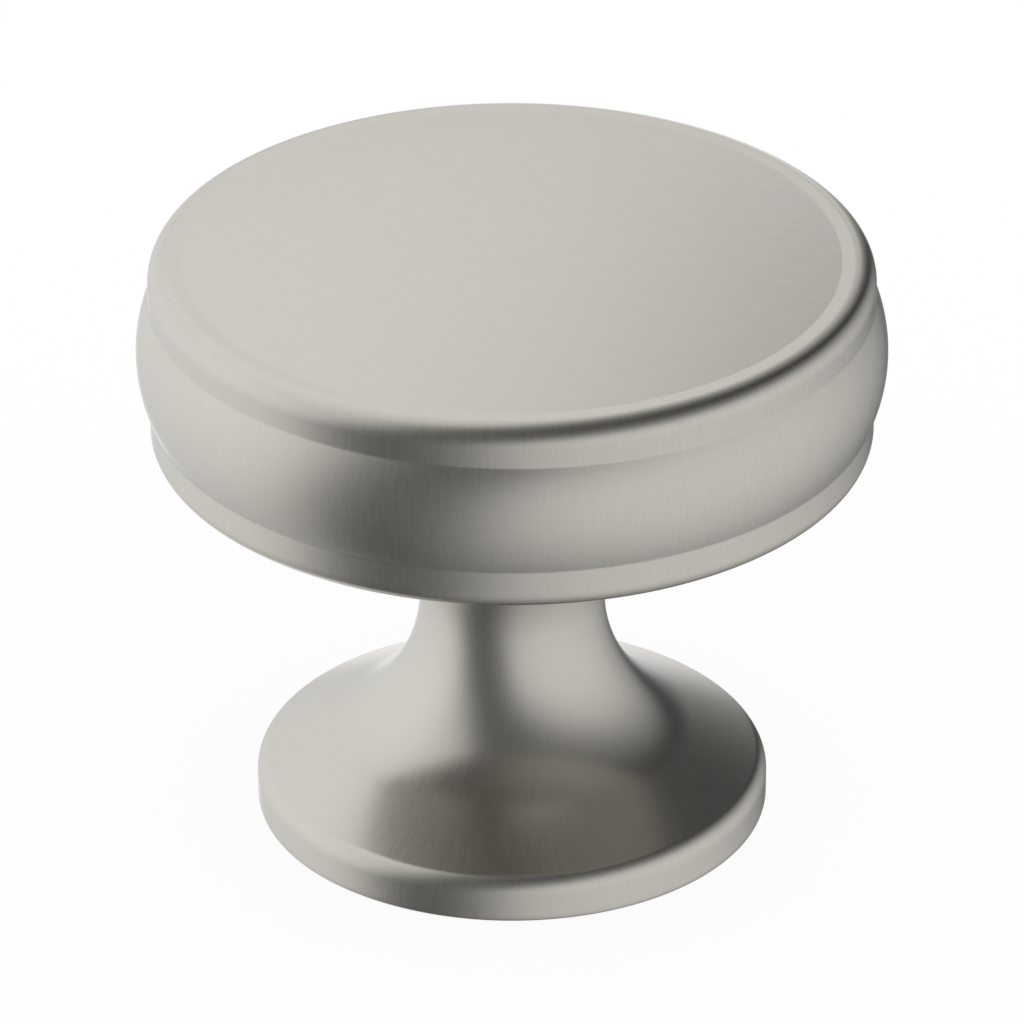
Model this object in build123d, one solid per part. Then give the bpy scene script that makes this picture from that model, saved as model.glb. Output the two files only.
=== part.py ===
from build123d import *
import math
import os

# A one-piece cabinet knob, cast and turned, with a barrel head on a flared foot.
# Millimetres. The foot seats on the door at Z = 0, and the head faces +Z.

# Head
head_diameter = 32.0        # widest, at the middle of the barrel
bead_diameter = 30.9        # the two plain beads above and below the barrel
rim_height = 26.15          # door to the flat ring round the face
top_bead_height = 1.78
barrel_height = 4.92
bottom_bead_height = 1.82
rim_roll = 0.93             # rounding from the flat ring into the top bead
bottom_roll = 0.75          # rounding under the bottom bead
corner_fillet = 0.25        # where the barrel meets each bead

# Face
ring_width = 0.55           # flat ring between the crowned face and the rim
face_crown = 0.7            # rise of the face at its middle above the ring

# Neck
neck_diameter = 8.0         # at its narrowest place, the waist

# Cove between the neck and the underside of the head
cove_reach = 6.5            # from the neck out to where the underside turns flat
cove_neck_fullness = 0.54   # share of the cove's height that stays close to the neck
cove_head_fullness = 0.69   # share of the cove's reach that stays close to the head

# Foot
foot_diameter = 22.16
foot_side_height = 1.27     # door to the top of the straight side
foot_roll = 0.93            # rounding from the straight side onto the flare
seat_chamfer = 0.1          # broken edge at the door
flare_slope = 28.5          # degrees, fall of the flare's straight part
flare_hollow = 7.2          # radius of the hollow from the waist into the straight part

# Blind hole for an 8-32 machine screw, at tapping size
screw_hole_diameter = 3.45
screw_hole_depth = 13.0     # door to the end of the full bore
drill_point_angle = 118.0   # degrees, included
mouth_chamfer = 0.5

# Levels and radii that follow
head_radius = head_diameter / 2
bead_radius = bead_diameter / 2
neck_radius = neck_diameter / 2
foot_radius = foot_diameter / 2
hole_radius = screw_hole_diameter / 2
barrel_top = rim_height - top_bead_height
barrel_bottom = barrel_top - barrel_height
head_bottom = barrel_bottom - bottom_bead_height
face_radius = bead_radius - rim_roll - ring_width
flare_fall = math.radians(flare_slope)
flare_end_radius = foot_radius - foot_roll + foot_roll * math.sin(flare_fall)
flare_end_height = foot_side_height + foot_roll * math.cos(flare_fall)
hollow_end_radius = neck_radius + flare_hollow * (1 - math.sin(flare_fall))
hollow_end_height = flare_end_height + (flare_end_radius - hollow_end_radius) * math.tan(flare_fall)
waist_height = hollow_end_height + flare_hollow * math.cos(flare_fall)


def eased_curve(start, start_way, end, end_way, start_fullness, end_fullness):
    """A cubic curve that leaves start along start_way and reaches end along end_way.

    Each fullness is the share of the distance covered along that way before the curve turns."""
    reach = Vector(*end) - Vector(*start)
    first = Vector(*start) + Vector(*start_way) * abs(reach.dot(Vector(*start_way))) * start_fullness
    second = Vector(*end) - Vector(*end_way) * abs(reach.dot(Vector(*end_way))) * end_fullness
    return Bezier(start, first, second, end)


def head_outline():
    """Half section of the head, from the middle of the face out, down and back in to the neck."""
    crown_top = (0, rim_height + face_crown)
    face_edge = (face_radius, rim_height)
    ring_edge = (bead_radius - rim_roll, rim_height)
    bead_top = (bead_radius, rim_height - rim_roll)
    barrel_start = (bead_radius, barrel_top)
    barrel_middle = (head_radius, (barrel_top + barrel_bottom) / 2)
    barrel_end = (bead_radius, barrel_bottom)
    bead_end = (bead_radius, head_bottom + bottom_roll)
    underside_start = (bead_radius - bottom_roll, head_bottom)
    underside_end = (neck_radius + cove_reach, head_bottom)
    waist = (neck_radius, waist_height)
    face = TangentArc(crown_top, face_edge, tangent=(1, 0))
    ring = Line(face_edge, ring_edge)
    rim = TangentArc(ring_edge, bead_top, tangent=(1, 0))
    top_bead = Line(bead_top, barrel_start)
    barrel = ThreePointArc(barrel_start, barrel_middle, barrel_end)
    bottom_bead = Line(barrel_end, bead_end)
    lower_edge = TangentArc(bead_end, underside_start, tangent=(0, -1))
    underside = Line(underside_start, underside_end)
    cove = eased_curve(underside_end, (-1, 0), waist, (0, -1), cove_head_fullness, cove_neck_fullness)
    return [face, ring, rim, top_bead, barrel, bottom_bead, lower_edge, underside, cove]


def foot_outline():
    """Half section of the foot, from the waist down the flare and back in along the door to the axis."""
    waist = (neck_radius, waist_height)
    hollow_end = (hollow_end_radius, hollow_end_height)
    flare_end = (flare_end_radius, flare_end_height)
    side_top = (foot_radius, foot_side_height)
    side_bottom = (foot_radius, seat_chamfer)
    seat_edge = (foot_radius - seat_chamfer, 0)
    hollow = TangentArc(waist, hollow_end, tangent=(0, -1))
    flare = Line(hollow_end, flare_end)
    roll = TangentArc(flare_end, side_top, tangent=(math.cos(flare_fall), -math.sin(flare_fall)))
    side = Line(side_top, side_bottom)
    broken_edge = Line(side_bottom, seat_edge)
    seat = Line(seat_edge, (0, 0))
    return [hollow, flare, roll, side, broken_edge, seat]


def knob_body():
    """The half section turned once round the axis, with the barrel's inner corners softened."""
    axis_line = Line((0, 0), (0, rim_height + face_crown))
    section = make_face(head_outline() + foot_outline() + [axis_line])
    corners = [
        corner
        for corner in section.vertices()
        if math.isclose(corner.X, bead_radius)
        and any(math.isclose(corner.Y, level) for level in (barrel_top, barrel_bottom))
    ]
    section = fillet(corners, corner_fillet)
    return revolve(Plane.XZ * section, Axis.Z)


def screw_hole():
    """The blind bore with its countersunk mouth and drill point, as one turned cutter."""
    mouth_radius = hole_radius + mouth_chamfer
    point_height = hole_radius / math.tan(math.radians(drill_point_angle / 2))
    outline = Polyline(
        (0, 0),
        (mouth_radius, 0),
        (hole_radius, mouth_chamfer),
        (hole_radius, screw_hole_depth),
        (0, screw_hole_depth + point_height),
        close=True,
    )
    return revolve(Plane.XZ * make_face(outline), Axis.Z)


knob = knob_body() - screw_hole()

os.makedirs("parts", exist_ok=True)
export_step(knob, "parts/knob.step")
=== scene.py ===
import bpy
import numpy as np
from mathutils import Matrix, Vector


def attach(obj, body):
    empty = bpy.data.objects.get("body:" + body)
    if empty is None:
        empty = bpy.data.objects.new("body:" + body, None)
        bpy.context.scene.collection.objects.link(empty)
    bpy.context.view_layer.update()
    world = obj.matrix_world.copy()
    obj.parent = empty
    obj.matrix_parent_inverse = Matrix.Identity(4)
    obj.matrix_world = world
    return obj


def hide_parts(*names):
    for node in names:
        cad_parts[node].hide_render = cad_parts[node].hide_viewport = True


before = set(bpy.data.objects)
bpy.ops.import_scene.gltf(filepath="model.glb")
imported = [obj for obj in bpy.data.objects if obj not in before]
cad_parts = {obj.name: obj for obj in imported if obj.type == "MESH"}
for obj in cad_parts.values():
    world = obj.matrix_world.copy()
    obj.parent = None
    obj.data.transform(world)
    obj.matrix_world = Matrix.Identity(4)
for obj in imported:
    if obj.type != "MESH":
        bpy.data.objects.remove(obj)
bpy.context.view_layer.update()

# A turned cabinet knob. Its lengths are millimetres until the mesh is made. They are the solid's, but the
# cove under the head is tighter here, the edge of the seat is eased further up, and the thread is only here.

# Metres in a millimetre, and millimetres in an inch
MM = 0.001
INCH = 25.4

# Head
HEAD_RADIUS = 16.0
BEAD_RADIUS = 15.45
RIM_HEIGHT = 26.15
BARREL_TOP = 24.37
BARREL_BOTTOM = 19.45
HEAD_BOTTOM = 17.63
RIM_ROLL = 0.93
BOTTOM_ROLL = 0.75
CORNER_FILLET = 0.25
RING_WIDTH = 0.55
FACE_CROWN = 0.7

# Neck, and the cove under the head
NECK_RADIUS = 4.0
COVE_REACH = 4.0
COVE_NECK_FULLNESS = 0.23
COVE_HEAD_FULLNESS = 0.55

# Foot
FOOT_RADIUS = 11.08
FOOT_SIDE_HEIGHT = 1.27
FOOT_ROLL = 0.93
SEAT_INSET = 0.1
SEAT_RISE = 0.3
FLARE_SLOPE = 28.5
FLARE_HOLLOW = 7.2

# Screw hole with an 8-32 thread, cut out from the tapping hole
HOLE_RADIUS = 1.725
HOLE_DEPTH = 13.0
DRILL_POINT_ANGLE = 118.0
MOUTH_CHAMFER = 0.5
THREAD_PITCH = INCH / 32
THREAD_DEPTH = 0.36
THREAD_RUNOUT_TURNS = 1.2

# Rows of points in each stretch of the half section and in each turn of the thread, facets round the knob,
# and the distance under which two rows are one
ROWS = {
    "face": 40, "ring": 7, "rim": 17, "bead": 7, "valley": 7, "barrel": 29, "lower_edge": 15, "underside": 8,
    "cove": 36, "hollow": 40, "flare": 12, "foot_edge": 16, "side": 7, "seat_edge": 8, "seat": 10,
    "drill_point": 7,
}
THREAD_ROWS = 6
SEGMENTS = 240
SAME_ROW = 1e-6


def to_linear(hex_colour):
    """A written sRGB colour as the linear red, green, blue and alpha that a shader takes."""
    srgb = np.array([int(hex_colour[i:i + 2], 16) for i in (1, 3, 5)]) / 255
    linear = np.where(srgb <= 0.04045, srgb / 12.92, ((srgb + 0.055) / 1.055) ** 2.4)
    return (*linear.tolist(), 1.0)


def add_node(tree, kind, settings, inputs):
    """Adds a node: settings are its own properties, inputs are values or links for its sockets."""
    node = tree.nodes.new(kind)
    for key, value in settings.items():
        setattr(node, key, value)
    for socket, value in inputs.items():
        if isinstance(value, bpy.types.NodeSocket):
            tree.links.new(value, node.inputs[socket])
        else:
            node.inputs[socket].default_value = value
    return node


# Stretches of the half section. Each gives rows of radius and height, in order down the knob.

def bunched(count):
    """Values from 0 to 1 that crowd at both ends: half of one less the cosine of an even turn."""
    return (1 - np.cos(np.linspace(0, np.pi, count))) / 2


def straight(start, end, count):
    """A straight run from start to end, its rows crowded at both ends so that corners shade crisply."""
    return np.array(start) + bunched(count)[:, None] * (np.array(end) - np.array(start))


def rounded(centre, radius, first, last, count):
    """Part of a circle: the centre plus the radius times the cosine and sine of an angle in degrees."""
    angle = np.radians(np.linspace(first, last, count))
    return np.array(centre) + radius * np.stack([np.cos(angle), np.sin(angle)], axis=1)


def eased(start, start_way, end, end_way, start_fullness, end_fullness, count):
    """A cubic curve whose two inner points lie along each end's way, at a share of the reach along it."""
    start, start_way, end, end_way = (np.array(p, float) for p in (start, start_way, end, end_way))
    reach = end - start
    first = start + start_way * abs(reach @ start_way) * start_fullness
    second = end - end_way * abs(reach @ end_way) * end_fullness
    t = np.linspace(0, 1, count)[:, None]
    return (1 - t) ** 3 * start + 3 * (1 - t) ** 2 * t * first + 3 * (1 - t) * t ** 2 * second + t ** 3 * end


def head_section():
    """Face, ring, rim, bead, barrel, bead and underside, as far as the start of the cove.

    The face is a shallow arc, the barrel an arc through the head's widest place. Each valley
    between barrel and bead is an arc that touches the bead's line and the barrel's circle."""
    face_radius = BEAD_RADIUS - RIM_ROLL - RING_WIDTH
    dome = (face_radius ** 2 + FACE_CROWN ** 2) / (2 * FACE_CROWN)
    out = face_radius * bunched(ROWS["face"])
    face = np.stack([out, RIM_HEIGHT + FACE_CROWN - dome + np.sqrt(dome ** 2 - out ** 2)], axis=1)
    ring_edge = BEAD_RADIUS - RIM_ROLL
    ring = straight((face_radius, RIM_HEIGHT), (ring_edge, RIM_HEIGHT), ROWS["ring"])
    rim = rounded((ring_edge, RIM_HEIGHT - RIM_ROLL), RIM_ROLL, 90, 0, ROWS["rim"])
    middle = (BARREL_TOP + BARREL_BOTTOM) / 2
    half = (BARREL_TOP - BARREL_BOTTOM) / 2
    rise = HEAD_RADIUS - BEAD_RADIUS
    bow = (half ** 2 + rise ** 2) / (2 * rise)
    bow_centre = HEAD_RADIUS - bow
    valley_out = BEAD_RADIUS + CORNER_FILLET
    valley_up = np.sqrt((bow + CORNER_FILLET) ** 2 - (valley_out - bow_centre) ** 2)
    turn = np.degrees(np.arctan2(valley_up, valley_out - bow_centre))
    bead_top = RIM_HEIGHT - RIM_ROLL
    bead_end = HEAD_BOTTOM + BOTTOM_ROLL
    edge_start = BEAD_RADIUS - BOTTOM_ROLL
    cove_start = NECK_RADIUS + COVE_REACH
    top_bead = straight((BEAD_RADIUS, bead_top), (BEAD_RADIUS, middle + valley_up), ROWS["bead"])
    top_valley = rounded((valley_out, middle + valley_up), CORNER_FILLET, 180, 180 + turn, ROWS["valley"])
    barrel = rounded((bow_centre, middle), bow, turn, -turn, ROWS["barrel"])
    low_valley = rounded((valley_out, middle - valley_up), CORNER_FILLET, 180 - turn, 180, ROWS["valley"])
    low_bead = straight((BEAD_RADIUS, middle - valley_up), (BEAD_RADIUS, bead_end), ROWS["bead"])
    lower_edge = rounded((edge_start, bead_end), BOTTOM_ROLL, 0, -90, ROWS["lower_edge"])
    underside = straight((edge_start, HEAD_BOTTOM), (cove_start, HEAD_BOTTOM), ROWS["underside"])
    return [face, ring, rim, top_bead, top_valley, barrel, low_valley, low_bead, lower_edge, underside]


def foot_section():
    """Cove, hollow, flare, foot edge, side and seat, as far as the mouth of the screw hole.

    The hollow is an arc that leaves the neck's wall and touches the straight flare, the foot's edge is
    an arc that touches the flare and the side, and the seat's edge is a quarter of an ellipse."""
    fall = np.radians(FLARE_SLOPE)
    roll_centre = (FOOT_RADIUS - FOOT_ROLL, FOOT_SIDE_HEIGHT)
    foot_edge = rounded(roll_centre, FOOT_ROLL, 90 - FLARE_SLOPE, 0, ROWS["foot_edge"])
    touch = NECK_RADIUS + FLARE_HOLLOW * (1 - np.sin(fall))
    touch_height = foot_edge[0, 1] + (foot_edge[0, 0] - touch) * np.tan(fall)
    waist = (NECK_RADIUS, touch_height + FLARE_HOLLOW * np.cos(fall))
    cove_start = (NECK_RADIUS + COVE_REACH, HEAD_BOTTOM)
    cove = eased(cove_start, (-1, 0), waist, (0, -1), COVE_HEAD_FULLNESS, COVE_NECK_FULLNESS, ROWS["cove"])
    hollow_centre = (NECK_RADIUS + FLARE_HOLLOW, waist[1])
    hollow = rounded(hollow_centre, FLARE_HOLLOW, 180, 270 - FLARE_SLOPE, ROWS["hollow"])
    flare = straight((touch, touch_height), foot_edge[0], ROWS["flare"])
    side = straight((FOOT_RADIUS, FOOT_SIDE_HEIGHT), (FOOT_RADIUS, SEAT_RISE), ROWS["side"])
    seat_radius = FOOT_RADIUS - SEAT_INSET
    quarter_turn = rounded((0, 0), 1, 0, -90, ROWS["seat_edge"])
    seat_edge = (seat_radius, SEAT_RISE) + quarter_turn * (SEAT_INSET, SEAT_RISE)
    seat = straight((seat_radius, 0), (HOLE_RADIUS + MOUTH_CHAMFER, 0), ROWS["seat"])
    return [cove, hollow, flare, foot_edge, side, seat_edge, seat]


def bore_rows():
    """Countersunk mouth, bore and drill point, upwards from the seat, before the thread is cut."""
    mouth = HOLE_RADIUS + MOUTH_CHAMFER
    turns = HOLE_DEPTH / THREAD_PITCH
    height = np.linspace(0, HOLE_DEPTH, int(turns * THREAD_ROWS) + 1)
    radius = np.maximum(HOLE_RADIUS, mouth - height)
    point_height = HOLE_RADIUS / np.tan(np.radians(DRILL_POINT_ANGLE / 2))
    point = straight((HOLE_RADIUS, HOLE_DEPTH), (0, HOLE_DEPTH + point_height), ROWS["drill_point"])
    return [np.stack([radius, height], axis=1), point]


def thread_cut(radius, height, angle):
    """Radius of the bore with the thread in it.

    The thread is a V groove that climbs one pitch a turn and runs out near the end of the bore."""
    phase = (height / THREAD_PITCH - angle / (2 * np.pi)) % 1
    groove = 1 - np.abs(2 * phase - 1)
    depth = THREAD_DEPTH * np.clip((HOLE_DEPTH - height) / (THREAD_RUNOUT_TURNS * THREAD_PITCH), 0, 1)
    return np.where(height <= HOLE_DEPTH, np.maximum(radius, HOLE_RADIUS + depth * groove), radius)


def put_grid(name, points, start_pole, end_pole=None):
    """A mesh from rows of points that close on themselves, with a fan from one point at each given pole."""
    rows, around = points.shape[:2]
    edge = np.arange(around)
    beside = (edge + 1) % around
    row = np.arange(rows - 1)[:, None] * around
    squares = np.stack([row + edge, row + around + edge, row + around + beside, row + beside], axis=-1)
    faces = squares.reshape(-1, 4).tolist()
    vertices = points.reshape(-1, 3)
    last = (rows - 1) * around
    for pole, one, other in ((start_pole, edge, beside), (end_pole, last + beside, last + edge)):
        if pole is not None:
            faces += np.stack([np.full(around, len(vertices)), one, other], axis=1).tolist()
            vertices = np.concatenate([vertices, [pole]])
    mesh = bpy.data.meshes.new(name)
    mesh.from_pydata(vertices.tolist(), [], faces)
    mesh.polygons.foreach_set("use_smooth", np.ones(len(mesh.polygons), bool))
    piece = bpy.data.objects.new(name, mesh)
    bpy.context.scene.collection.objects.link(piece)
    return piece


def put_attribute(piece, name, kind, field, values):
    """Keeps one value a vertex on the mesh for its material to read."""
    attribute = piece.data.attributes.new(name, kind, "POINT")
    attribute.data.foreach_set(field, np.asarray(values, np.float32).ravel())


def turned_knob():
    """The knob: its half section carried round the axis, with the thread cut by height and angle.

    A row at radius r and height z becomes r times the cosine and sine of the angle, and z."""
    outside = head_section() + foot_section()
    section = np.concatenate(outside + bore_rows())
    order = np.arange(len(section))
    on_face = order < len(outside[0])
    in_bore = order >= sum(len(stretch) for stretch in outside)
    keep = np.concatenate([[True], np.hypot(*np.diff(section, axis=0).T) > SAME_ROW])
    section, on_face, in_bore = section[keep], on_face[keep], in_bore[keep]
    along = np.concatenate([[0], np.cumsum(np.hypot(*np.diff(section, axis=0).T))])
    body, face_rows, run = section[1:-1], on_face[1:-1], along[1:-1]
    angle = 2 * np.pi * np.arange(SEGMENTS) / SEGMENTS
    radius, height = body[:, :1], body[:, 1:]
    radius = np.where(in_bore[1:-1, None], thread_cut(radius, height, angle), radius)
    height = np.broadcast_to(height, radius.shape)
    points = np.stack([radius * np.cos(angle), radius * np.sin(angle), height], axis=-1) * MM
    top = np.array([0, 0, section[0, 1]]) * MM
    end = np.array([0, 0, section[-1, 1]]) * MM
    knob = put_grid("turned_knob", points, top, end)
    way = np.stack(np.broadcast_arrays(np.cos(angle), np.sin(angle), run[:, None]), axis=-1).reshape(-1, 3)
    way = np.concatenate([way, [[1, 0, 0]], [[1, 0, along[-1]]]])
    put_attribute(knob, "round_and_along", "FLOAT_VECTOR", "vector", way)
    share = np.concatenate([np.repeat(face_rows, SEGMENTS), [1, 0]])
    put_attribute(knob, "face_share", "FLOAT", "value", share)
    return knob


def satin_nickel():
    """Nickel plate over a zinc casting, brushed to a satin.

    Fine, short parallel scratches give soft, smeared reflections with no sharp mirror image, a slight
    grain along the brushing and a warm grey. On the face they run straight across, and on the
    turned sides along the section. Real scratches are a few hundredths of a millimetre apart; they
    are drawn at about 0.15 mm on the sides and 0.25 mm on the face, which the camera sees
    foreshortened, so that a few show."""
    side_spacing, side_length = 0.15, 1.0
    face_spacing, face_length = 0.25, 0.8
    scratch_depth, scratch_strength = 0.0015, 0.5
    faintest, deepest = 0.3, 0.7
    smoothest, dullest = 0.23, 0.27
    grain = {"Scale": 1.0, "Detail": 3.0, "Roughness": 0.6}
    material = bpy.data.materials.new("satin_nickel")
    material.use_nodes = True
    tree = material.node_tree
    shader = tree.nodes["Principled BSDF"]
    shader.inputs["Metallic"].default_value = 1.0
    place = add_node(tree, "ShaderNodeTexCoord", {}, {})
    way = add_node(tree, "ShaderNodeAttribute", {"attribute_name": "round_and_along"}, {})
    face = add_node(tree, "ShaderNodeAttribute", {"attribute_name": "face_share"}, {})
    straight_way = add_node(tree, "ShaderNodeMapping", {}, {
        "Vector": place.outputs["Object"],
        "Scale": (1 / (face_length * MM), 1 / (face_spacing * MM), 1 / (face_spacing * MM))})
    straight_scratch = add_node(tree, "ShaderNodeTexNoise", {}, {
        "Vector": straight_way.outputs["Vector"], **grain})
    round_scale = HEAD_RADIUS / side_spacing
    round_way = add_node(tree, "ShaderNodeMapping", {}, {
        "Vector": way.outputs["Vector"], "Scale": (round_scale, round_scale, 1 / side_length)})
    round_scratch = add_node(tree, "ShaderNodeTexNoise", {}, {
        "Vector": round_way.outputs["Vector"], **grain})
    scratch = add_node(tree, "ShaderNodeMix", {"data_type": "FLOAT"}, {
        "Factor": face.outputs["Fac"],
        "A": round_scratch.outputs["Fac"],
        "B": straight_scratch.outputs["Fac"]})
    tone = add_node(tree, "ShaderNodeMix", {"data_type": "RGBA"}, {
        "Factor": scratch.outputs["Result"],
        "A": to_linear("#B9B6AF"),
        "B": to_linear("#C3C0B9")})
    dull = add_node(tree, "ShaderNodeMapRange", {}, {
        "Value": scratch.outputs["Result"],
        "From Min": faintest, "From Max": deepest, "To Min": smoothest, "To Max": dullest})
    bump = add_node(tree, "ShaderNodeBump", {}, {
        "Height": scratch.outputs["Result"],
        "Strength": scratch_strength, "Distance": scratch_depth * MM})
    tree.links.new(tone.outputs["Result"], shader.inputs["Base Color"])
    tree.links.new(dull.outputs["Result"], shader.inputs["Roughness"])
    tree.links.new(bump.outputs["Normal"], shader.inputs["Normal"])
    return material


knob = turned_knob()
knob.data.materials.append(satin_nickel())
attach(knob, "root")
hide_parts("knob")

# Stage: a white world, a pale floor and a tent of lit cloth that only the metal's reflections see.
# Lengths here are metres, and angles are degrees. Azimuth 0 is the camera's side, and 90 is +X.

# The tent's rows run from the last row's elevation down to the same below the floor, with a pole beyond each
TENT_RADIUS = 0.9
TENT_ROWS = 90
TENT_COLUMNS = 180
TENT_LAST_ROW = 89

# How bright the cloth is where no lamp is on it, and how much that rises towards the camera and falls behind
CLOTH_UNLIT = 0.09
CLOTH_FRONT_GAIN = 0.09

# Each lit cloth: its glow, then its edges. An edge is a plane through the knob, given by the azimuth and the
# elevation of its normal towards the cloth and by the width over which it fades. The left cloth hangs from
# behind the knob round to its left side and the back one higher up there, the right one is low from the front
# round to the right, and the table's is low behind the knob.
LEFT_CLOTH = (1.26, [(-142, 20, 24), (-102, 28, 80), (-128, -12, 44), (-110, 22, 14)])
RIGHT_CLOTH = (1.04, [(66, -58, 32), (58, -28, 8), (84, -10, 26), (58, 20, 72)])
BACK_CLOTH = (1.32, [(-100, 2, 12), (230, 0, 14), (-138, 8, 76), (84, 70, 32)])
TABLE_CLOTH = (1.52, [(-104, 10, 12), (94, -28, 8), (164, -4, 14), (226, 22, 74)])

# Steepness of an edge's S curve, which runs from 12 to 88 percent over the edge's width
EDGE_STEEPNESS = 4


def direction(azimuth, elevation):
    """Unit vector at an azimuth and an elevation.

    It is the azimuth's sine and its cosine reversed, both times the elevation's cosine, and the
    elevation's sine."""
    turn, tall = np.radians(azimuth), np.radians(elevation)
    level = np.cos(tall)
    return np.stack(np.broadcast_arrays(level * np.sin(turn), -level * np.cos(turn), np.sin(tall)), axis=-1)


def tent_glow(way):
    """Brightness of the tent in each direction: the strongest lit cloth there, or else the unlit cloth.

    The unlit cloth is a little lighter towards the camera. A lit cloth's share is the product of an S curve
    over the angle from each of its edges."""
    unlit = CLOTH_UNLIT - CLOTH_FRONT_GAIN * way[..., 1]
    glow = unlit
    for level, edges in (LEFT_CLOTH, RIGHT_CLOTH, BACK_CLOTH, TABLE_CLOTH):
        share = np.ones(glow.shape)
        for azimuth, elevation, fade in edges:
            inside = np.degrees(np.arcsin(np.clip(way @ direction(azimuth, elevation), -1, 1)))
            share = share / (1 + np.exp(-EDGE_STEEPNESS * inside / fade))
        glow = np.maximum(glow, unlit + share * (level - unlit))
    return glow


def lit_white_cloth():
    """Plain white cotton with a lamp behind it: an even glow with no grain, as strong as the mesh says."""
    cloth = bpy.data.materials.new("lit_white_cloth")
    cloth.use_nodes = True
    cloth.cycles.emission_sampling = "NONE"
    tree = cloth.node_tree
    tree.nodes.remove(tree.nodes["Principled BSDF"])
    level = add_node(tree, "ShaderNodeAttribute", {"attribute_name": "glow"}, {})
    light = add_node(tree, "ShaderNodeEmission", {}, {"Strength": level.outputs["Fac"]})
    tree.links.new(light.outputs["Emission"], tree.nodes["Material Output"].inputs["Surface"])
    return cloth


def light_tent():
    """A sphere round the knob: its radius times the direction at each azimuth and elevation."""
    elevation = np.linspace(TENT_LAST_ROW, -TENT_LAST_ROW, TENT_ROWS)[:, None]
    azimuth = np.linspace(180, -180, TENT_COLUMNS, endpoint=False)[None, :]
    way = direction(azimuth, elevation)
    poles = np.array([[0, 0, 1], [0, 0, -1]])
    tent = put_grid("light_tent", TENT_RADIUS * way, *(TENT_RADIUS * poles))
    put_attribute(tent, "glow", "FLOAT", "value", np.concatenate([tent_glow(way).ravel(), tent_glow(poles)]))
    tent.data.materials.append(lit_white_cloth())
    tent.visible_camera = False
    tent.visible_diffuse = False
    tent.visible_shadow = False
    return tent


FLOOR_RINGS = (0.02, 0.1, 0.5, 1.5)
FLOOR_SEGMENTS = 64
FLOOR_GAP = 0.05 * MM
FLOOR_OWN_LIGHT = 0.92


def white_paper():
    """Matt white paper: a plain, even white with a faint shadow round the foot, and clear from below.

    Most of its white is its own, so that it stays as white as the world round it."""
    paper = bpy.data.materials.new("white_paper")
    paper.use_nodes = True
    tree = paper.node_tree
    tree.nodes.remove(tree.nodes["Principled BSDF"])
    lit = add_node(tree, "ShaderNodeBsdfDiffuse", {}, {"Color": to_linear("#FCFCFC")})
    own = add_node(tree, "ShaderNodeEmission", {}, {"Color": to_linear("#FFFFFF"), "Strength": 1.0})
    white = add_node(tree, "ShaderNodeMixShader", {}, {
        0: FLOOR_OWN_LIGHT, 1: lit.outputs[0], 2: own.outputs[0]})
    side = add_node(tree, "ShaderNodeNewGeometry", {}, {})
    clear = add_node(tree, "ShaderNodeBsdfTransparent", {}, {})
    seen = add_node(tree, "ShaderNodeMixShader", {}, {
        0: side.outputs["Backfacing"], 1: white.outputs[0], 2: clear.outputs[0]})
    tree.links.new(seen.outputs[0], tree.nodes["Material Output"].inputs["Surface"])
    return paper


def pale_floor():
    """A disc just under the seat, seen from above only: each ring is its radius times cosine and sine."""
    turn = 2 * np.pi * np.arange(FLOOR_SEGMENTS) / FLOOR_SEGMENTS
    reach = np.array(FLOOR_RINGS)[:, None]
    points = np.stack(np.broadcast_arrays(reach * np.cos(turn), reach * np.sin(turn), -FLOOR_GAP), axis=-1)
    floor = put_grid("pale_floor", points, (0, 0, -FLOOR_GAP))
    floor.data.materials.append(white_paper())
    floor.visible_glossy = False
    floor.visible_diffuse = False
    return floor


light_tent()
pale_floor()

world = bpy.data.worlds.new("white_studio")
world.use_nodes = True
background = world.node_tree.nodes["Background"]
background.inputs["Color"].default_value = to_linear("#FFFFFF")
background.inputs["Strength"].default_value = 1.0
world.cycles.sampling_method = "NONE"
bpy.context.scene.world = world

# Camera: in front of the knob and above it, as in the photograph. Distance and aim are metres, and the lens
# and the sensor are millimetres.
CAMERA_ELEVATION = 28.8
CAMERA_DISTANCE = 0.40103
CAMERA_LENS = 328.25
CAMERA_SENSOR = 36.0
AIM_HEIGHT = 0.013847

tilt = np.radians(CAMERA_ELEVATION)
camera = bpy.data.objects.new("camera", bpy.data.cameras.new("camera"))
camera.data.lens = CAMERA_LENS
camera.data.sensor_width = CAMERA_SENSOR
aim = Vector((0, 0, AIM_HEIGHT))
camera.location = aim + CAMERA_DISTANCE * Vector((0, -np.cos(tilt), np.sin(tilt)))
camera.rotation_euler = (aim - camera.location).to_track_quat("-Z", "Y").to_euler()
bpy.context.scene.collection.objects.link(camera)
bpy.context.scene.camera = camera
bpy.context.scene.view_settings.view_transform = "Standard"
